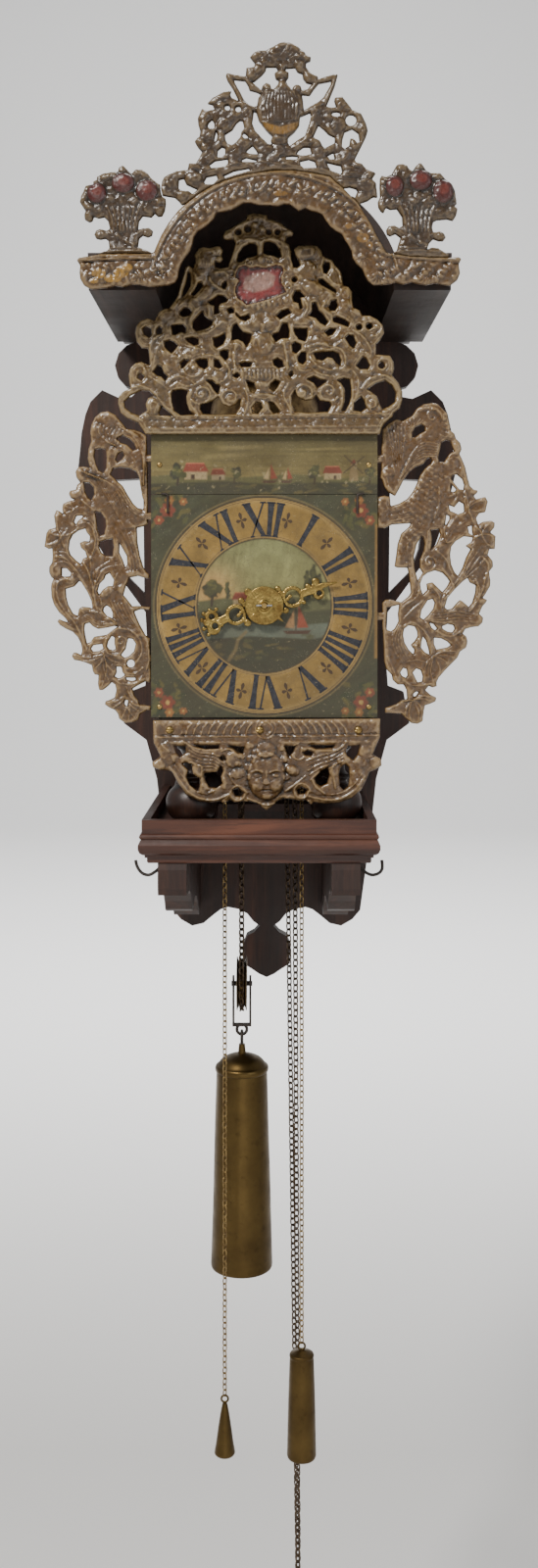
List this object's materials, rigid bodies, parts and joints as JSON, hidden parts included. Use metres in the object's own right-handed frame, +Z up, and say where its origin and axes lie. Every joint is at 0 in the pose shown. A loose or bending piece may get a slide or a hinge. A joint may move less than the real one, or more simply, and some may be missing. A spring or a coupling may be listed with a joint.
{
  "type": "stoelklok wall clock",
  "caption": "Weight-driven wall clock: a painted iron movement with bell on a bracketed seat under an arched hood, with pierced castings, chains, pulley and weights.",
  "frame": {"origin": "on the wall face (back of the backboard), straight behind the hand arbor at the dial's centre", "axes": "+Z up, +Y into the wall so the dial faces -Y, +X to the right of a person facing the dial"},
  "size_m": [0.3436, 0.243, 1.2447],
  "materials": {
    "wood_dark": "old dark stained oak, waxed",
    "tray_wood": "red-brown stained wood, worn edges",
    "cast_paint": "cast lead with old dull gold-brown paint",
    "dial_paint": "old oil paint on sheet iron, crazed",
    "iron": "hand-forged iron, oiled and dark",
    "brass": "old brass, tarnished",
    "chain": "drawn wire links, brown patina",
    "lead": "bare lead, dull grey",
    "foot_wood": "black stained turned wood"
  },
  "bodies": {
    "case": {"backboard": "wood_dark", "hanger_plate": "iron", "hood_front_board": "wood_dark", "hood_vault": "wood_dark", "hood_roof_boards": "wood_dark", "hood_soffits": "wood_dark", "hood_sides": "wood_dark", "hood_border_casting": "cast_paint", "hood_crest_casting": "cast_paint", "basket_castings": "cast_paint", "tray_front": "tray_wood", "tray_sides": "tray_wood", "tray_floor": "tray_wood", "tray_brackets": "tray_wood", "side_hooks": "iron", "bun_feet": "foot_wood", "bottom_plate": "iron", "top_plate": "iron", "frame_pillars": "iron", "movement_bars": "iron", "dial_plate": "dial_paint", "dial_top_panel": "dial_paint", "dial_rivets": "iron", "dial_catches": "iron", "movement_crest_casting": "cast_paint", "crest_brackets": "iron", "side_casting_left": "cast_paint", "side_casting_right": "cast_paint", "apron_casting": "cast_paint", "apron_screws": "iron", "door_hinge_pins": "iron", "cocks": "iron", "bell": "brass", "bell_post": "iron", "main_chain": "chain", "alarm_chain": "chain"},
    "door_left": {"side_door_left": "iron"},
    "door_right": {"side_door_right": "iron"},
    "great": {"going_great_wheel": "brass"},
    "second": {"going_second_wheel": "brass"},
    "escape": {"escape_wheel": "brass"},
    "hour": {"hour_wheel": "iron", "hour_hand": "brass", "hand_pin": "iron"},
    "disc": {"alarm_disc": "brass"},
    "s_great": {"strike_great_wheel": "brass"},
    "s_pin": {"strike_pin_wheel": "brass"},
    "s_fly": {"strike_fly": "brass"},
    "alarm_wheel": {"alarm_chain_wheel": "brass"},
    "anchor": {"anchor_and_crutch": "iron"},
    "pendulum": {"pendulum": "brass"},
    "hammer": {"strike_hammer": "iron"},
    "alarm_hammer": {"alarm_hammer": "iron"},
    "stirrup": {"pulley_stirrup": "iron"},
    "pulley": {"pulley": "brass"},
    "weight": {"weight_hook": "iron", "main_weight": "brass"},
    "small_weight": {"alarm_weight": "brass"},
    "counterweight": {"alarm_counterweight": "brass"},
    "lead_ring": {"tension_ring": "lead"}
  },
  "joints": [
    {"name": "left_door_hinge", "type": "hinge", "parent": "case", "child": "door_left", "pos_m": [-0.084, -0.058, 0.012], "axis": [0, 0, 1], "range_deg": [-100, 0]},
    {"name": "right_door_hinge", "type": "hinge", "parent": "case", "child": "door_right", "pos_m": [0.084, -0.058, 0.012], "axis": [0, 0, 1], "range_deg": [0, 100]},
    {"name": "great_wheel_spin", "type": "hinge", "parent": "case", "child": "great", "pos_m": [0.003, -0.15, -0.0449], "axis": [0, 1, 0], "continuous": true},
    {"name": "second_wheel_spin", "type": "hinge", "parent": "case", "child": "second", "pos_m": [-0.01301, -0.15, -0.00092], "axis": [0, 1, 0], "continuous": true},
    {"name": "escape_wheel_spin", "type": "hinge", "parent": "case", "child": "escape", "pos_m": [-0.00172, -0.13, 0.03009], "axis": [0, 1, 0], "continuous": true},
    {"name": "hour_hand_turn", "type": "hinge", "parent": "case", "child": "hour", "pos_m": [0, -0.19, 0], "axis": [0, 1, 0], "continuous": true},
    {"name": "alarm_disc_turn", "type": "hinge", "parent": "hour", "child": "disc", "pos_m": [0, -0.196, 0], "axis": [0, 1, 0], "continuous": true},
    {"name": "strike_great_wheel_spin", "type": "hinge", "parent": "case", "child": "s_great", "pos_m": [-0.0025, -0.09, -0.0449], "axis": [0, 1, 0], "continuous": true},
    {"name": "strike_pin_wheel_spin", "type": "hinge", "parent": "case", "child": "s_pin", "pos_m": [0.01576, -0.09, -0.00575], "axis": [0, 1, 0], "continuous": true},
    {"name": "strike_fly_spin", "type": "hinge", "parent": "case", "child": "s_fly", "pos_m": [0.0055, -0.09, 0.02244], "axis": [0, 1, 0], "continuous": true},
    {"name": "alarm_wheel_spin", "type": "hinge", "parent": "case", "child": "alarm_wheel", "pos_m": [-0.0009, -0.173, 0.08], "axis": [0, 1, 0], "continuous": true},
    {"name": "pendulum_swing", "type": "hinge", "parent": "case", "child": "pendulum", "pos_m": [-0.00172, -0.042, 0.05509], "axis": [0, 1, 0], "range_deg": [-2.5, 2.5]},
    {"name": "anchor_rock", "type": "hinge", "parent": "case", "child": "anchor", "pos_m": [-0.00172, -0.09, 0.05509], "axis": [0, 1, 0], "range_deg": [-2.5, 2.5]},
    {"name": "hammer_lift", "type": "hinge", "parent": "case", "child": "hammer", "pos_m": [0.06, -0.117, 0.06], "axis": [0, 1, 0], "range_deg": [0, 12], "stiffness_Nm_per_rad": 0.06},
    {"name": "alarm_hammer_rock", "type": "hinge", "parent": "case", "child": "alarm_hammer", "pos_m": [-0.044, -0.15, 0.108], "axis": [0, 1, 0], "range_deg": [-4, 4]},
    {"name": "stirrup_swing", "type": "hinge", "parent": "case", "child": "stirrup", "pos_m": [-0.0184, -0.12, -0.304], "axis": [1, 0, 0], "range_deg": [-3, 3]},
    {"name": "pulley_spin", "type": "hinge", "parent": "stirrup", "child": "pulley", "pos_m": [-0.0184, -0.12, -0.304], "axis": [1, 0, 0], "continuous": true},
    {"name": "main_weight_swing", "type": "hinge", "parent": "stirrup", "child": "weight", "pos_m": [-0.0184, -0.12, -0.345], "axis": [1, 0, 0], "range_deg": [-3, 3]},
    {"name": "alarm_weight_swing", "type": "hinge", "parent": "case", "child": "small_weight", "pos_m": [0.0287, -0.1735, -0.5665], "axis": [0, 1, 0], "range_deg": [-8, 8]},
    {"name": "counterweight_swing", "type": "hinge", "parent": "case", "child": "counterweight", "pos_m": [-0.0305, -0.1735, -0.6068], "axis": [0, 1, 0], "range_deg": [-8, 8]},
    {"name": "tension_ring_swing", "type": "hinge", "parent": "case", "child": "lead_ring", "pos_m": [0.027, -0.12, -0.8019], "axis": [1, 0, 0], "range_deg": [-8, 8]}
  ],
  "couplings": [
    {"joint": "great_wheel_spin", "follows": "second_wheel_spin", "ratio": -0.18182},
    {"joint": "escape_wheel_spin", "follows": "second_wheel_spin", "ratio": -4.5},
    {"joint": "hour_hand_turn", "follows": "second_wheel_spin", "ratio": 0.045455},
    {"joint": "strike_great_wheel_spin", "follows": "strike_pin_wheel_spin", "ratio": -0.2},
    {"joint": "strike_fly_spin", "follows": "strike_pin_wheel_spin", "ratio": -4},
    {"joint": "anchor_rock", "follows": "pendulum_swing", "ratio": 1}
  ]
}
